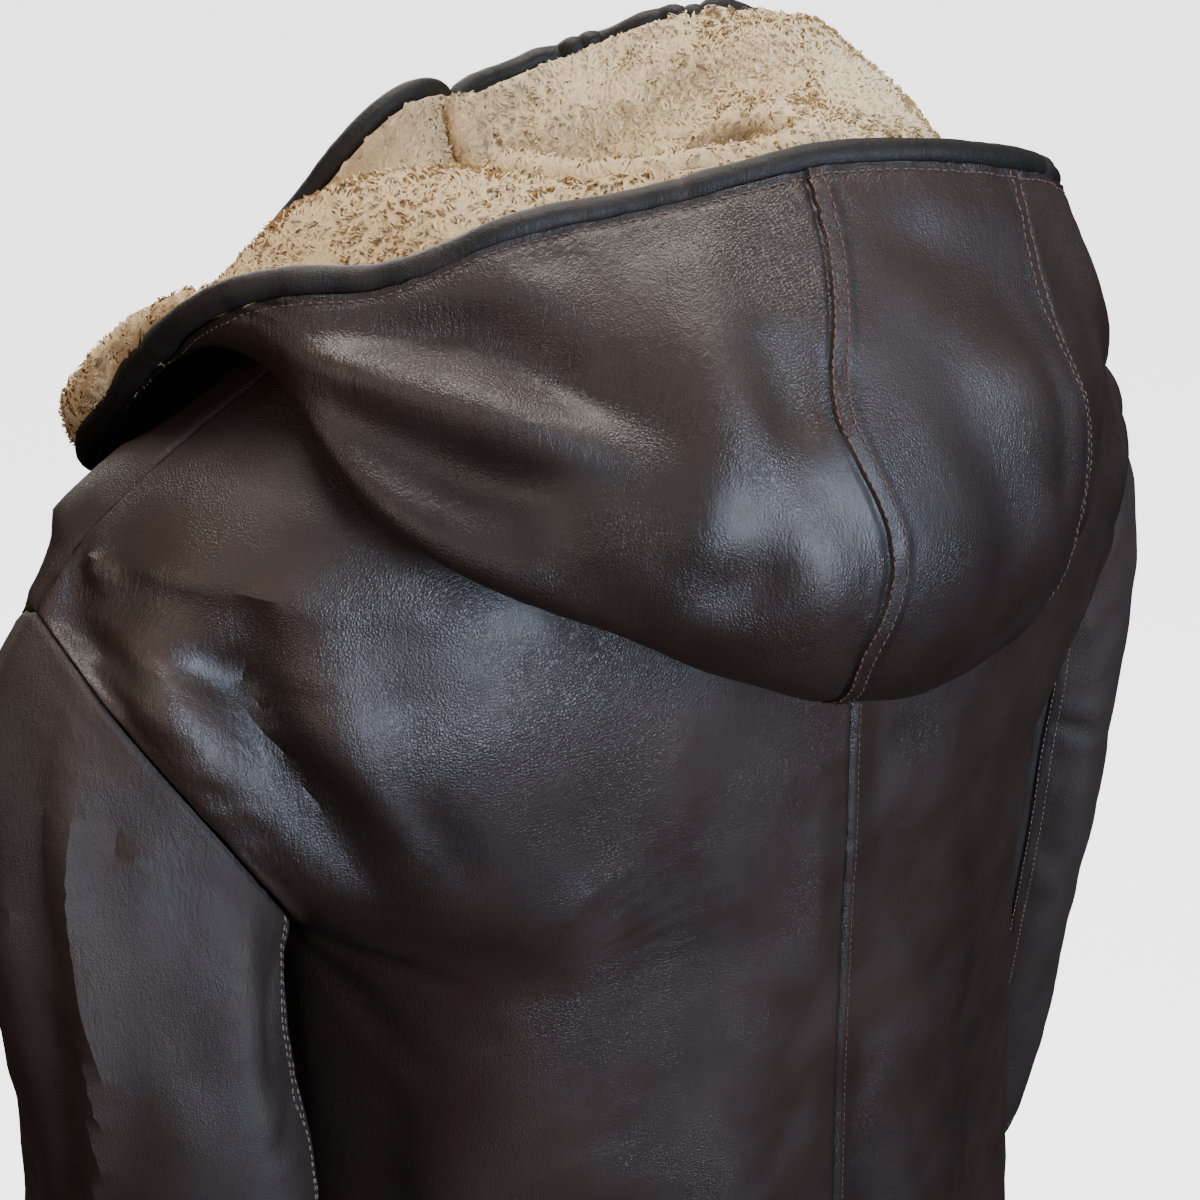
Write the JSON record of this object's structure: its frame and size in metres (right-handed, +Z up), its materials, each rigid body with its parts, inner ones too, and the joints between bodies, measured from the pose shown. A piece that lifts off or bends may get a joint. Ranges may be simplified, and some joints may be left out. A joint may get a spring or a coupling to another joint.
{
  "type": "hooded leather coat",
  "caption": "Hooded leather coat for outdoor wear, holding its worn shape, with the fur-lined hood folded down behind the neck.",
  "frame": {"origin": "middle of the neck opening's base, where the wearer's neck and shoulders carry the coat", "axes": "+Z up, -Y the way the front faces, +X the wearer's left"},
  "size_m": [0.684, 0.3768, 0.8622],
  "materials": {
    "leather": "smooth, semi-gloss",
    "edging": "smooth, semi-gloss",
    "fur": "short dense pile",
    "horn": "polished"
  },
  "bodies": {
    "root": {"back_left": "leather", "back_right": "leather", "front_left": "leather", "front_right": "leather", "sleeve_left_upper": "leather", "sleeve_left_under": "leather", "sleeve_right_upper": "leather", "sleeve_right_under": "leather", "hood_side_left": "leather", "hood_centre": "leather", "hood_side_right": "leather", "lining_side_left": "fur", "lining_centre": "fur", "lining_side_right": "fur", "hood_binding": "edging", "front_placket": "leather", "button_1": "horn", "button_2": "horn", "button_3": "horn", "button_4": "horn", "button_5": "horn", "button_6": "horn"}
  },
  "joints": []
}
